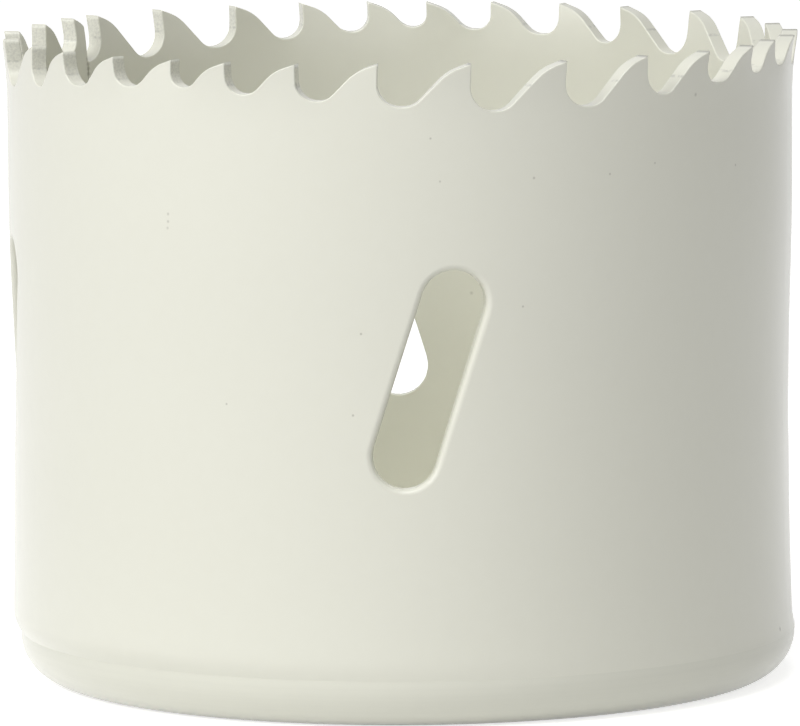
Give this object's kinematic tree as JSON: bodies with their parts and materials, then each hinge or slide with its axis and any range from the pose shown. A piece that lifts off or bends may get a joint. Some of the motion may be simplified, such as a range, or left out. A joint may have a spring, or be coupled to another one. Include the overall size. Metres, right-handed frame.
{
  "type": "hole saw",
  "caption": "Bi-metal hole saw cup: a toothed, slotted steel band on a thick cap with a threaded arbor hole and drive-pin holes.",
  "frame": {"origin": "centre of the cap's outer face, where the arbor's shoulder seats", "axes": "+Z along the saw's axis from the cap to the teeth; -Y through the middle of one chip slot"},
  "size_m": [0.0634, 0.0633, 0.0515],
  "materials": {
    "painted_steel": "off-white powder coat on steel, satin",
    "painted_teeth": "off-white powder coat on high-speed-steel teeth, satin",
    "painted_cap": "off-white powder coat on a turned steel cap, satin"
  },
  "bodies": {
    "root": {"toothed_band": "painted_steel", "tooth_tips": "painted_teeth", "cap": "painted_cap"}
  },
  "joints": []
}
